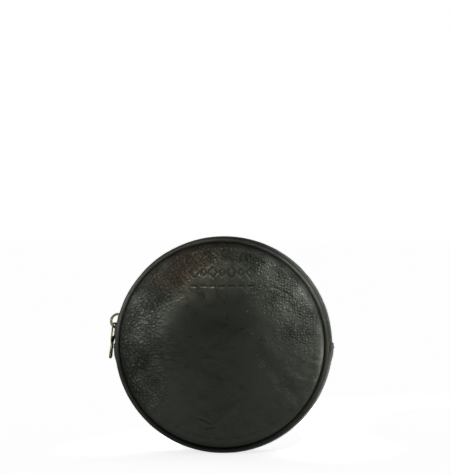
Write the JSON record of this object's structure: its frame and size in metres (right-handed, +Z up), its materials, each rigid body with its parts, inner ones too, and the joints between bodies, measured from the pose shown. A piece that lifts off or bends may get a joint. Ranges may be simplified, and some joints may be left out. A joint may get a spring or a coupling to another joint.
{
  "type": "coin purse",
  "caption": "Round flat leather coin purse with piped rims, a half-round zip over the top and a leather strip round the base; the mouth leans open",
  "frame": {"origin": "middle of the small flat at the base that the purse stands on", "axes": "+Z up, the front panel faces -Y, +X to the right of someone looking at the front"},
  "size_m": [0.1137, 0.0276, 0.1083],
  "materials": {
    "panel_leather": "pebbled black leather with a soft sheen, faintly reddish where it is worn",
    "piping_leather": "smooth thin black leather stretched round a cord",
    "gusset_leather": "smooth dark leather with a satin sheen",
    "piping_cord": "twisted cotton cord",
    "zip_tape": "black woven tape with a fine herringbone",
    "zip_coil": "black nylon coil",
    "lining_fabric": "plain woven black lining",
    "thread": "waxed black thread",
    "antique_brass": "darkened antique brass, brighter where it is rubbed"
  },
  "bodies": {
    "root": {"back_lining_lower": "lining_fabric", "back_panel_lower": "panel_leather", "back_piping_cord_lower": "piping_cord", "back_piping_lower": "piping_leather", "back_zip_coil_ends": "zip_coil", "back_zip_facing_ends": "lining_fabric", "back_zip_tape_ends": "zip_tape", "base_gusset": "gusset_leather", "base_lining": "lining_fabric", "front_lining_lower": "lining_fabric", "front_panel_lower": "panel_leather", "front_piping_cord_lower": "piping_cord", "front_piping_lower": "piping_leather", "front_zip_coil_ends": "zip_coil", "front_zip_facing_ends": "lining_fabric", "front_zip_tape_ends": "zip_tape", "lap_stitches": "thread", "zip_bottom_stop": "antique_brass", "zip_top_stops": "antique_brass"},
    "front_flap": {"front_lining_upper": "lining_fabric", "front_panel_upper": "panel_leather", "front_piping_cord_upper": "piping_cord", "front_piping_upper": "piping_leather", "front_zip_coil": "zip_coil", "front_zip_facing": "lining_fabric", "front_zip_tape": "zip_tape"},
    "back_flap": {"back_lining_upper": "lining_fabric", "back_panel_upper": "panel_leather", "back_piping_cord_upper": "piping_cord", "back_piping_upper": "piping_leather", "back_zip_coil": "zip_coil", "back_zip_facing": "lining_fabric", "back_zip_tape": "zip_tape"},
    "slider": {"slider_body": "antique_brass", "slider_bail": "antique_brass"},
    "pull": {"pull_tab": "antique_brass"}
  },
  "joints": [
    {"name": "front_opening", "type": "hinge", "parent": "root", "child": "front_flap", "pos_m": [0, -0.014, 0.0716], "axis": [1, 0, 0], "range_deg": [0, 25], "stiffness_Nm_per_rad": 0.004},
    {"name": "back_opening", "type": "hinge", "parent": "root", "child": "back_flap", "pos_m": [0, 0.014, 0.0716], "axis": [-1, 0, 0], "range_deg": [0, 25], "stiffness_Nm_per_rad": 0.004},
    {"name": "slider_travel", "type": "hinge", "parent": "root", "child": "slider", "pos_m": [0, 0, 0.0541], "axis": [0, 1, 0], "range_deg": [0, 156]},
    {"name": "pull_swing", "type": "hinge", "parent": "slider", "child": "pull", "pos_m": [-0.05551, 0, 0.06439], "axis": [0, 1, 0], "range_deg": [0, 185]}
  ]
}
